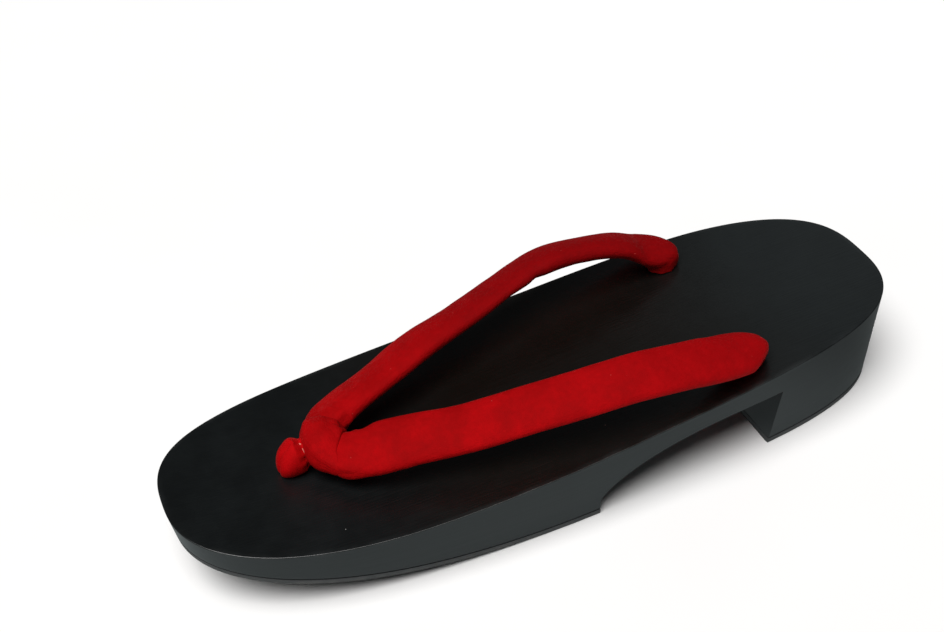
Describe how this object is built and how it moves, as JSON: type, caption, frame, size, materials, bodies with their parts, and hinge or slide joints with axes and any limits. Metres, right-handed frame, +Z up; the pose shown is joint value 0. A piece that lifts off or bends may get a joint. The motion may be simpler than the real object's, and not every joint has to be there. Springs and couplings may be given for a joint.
{
  "type": "geta sandal",
  "caption": "Black lacquered wooden thong sandal with an arched body and heel block, thin rubber soles, and a padded red cloth strap with a front thong.",
  "frame": {"origin": "middle of the box that holds the sandal, on the floor", "axes": "+Y towards the heel, -Y towards the toe, +X to one side, +Z up"},
  "size_m": [0.0828, 0.24, 0.051],
  "materials": {
    "lacquered_wood": "black satin lacquer with fine lengthwise grooves on the deck",
    "sole_rubber": "matt black rubber",
    "strap_cloth": "bright red velveteen with a short nap"
  },
  "bodies": {
    "root": {"body": "lacquered_wood", "front_sole": "sole_rubber", "heel_sole": "sole_rubber", "strap": "strap_cloth", "thong": "strap_cloth"}
  },
  "joints": []
}
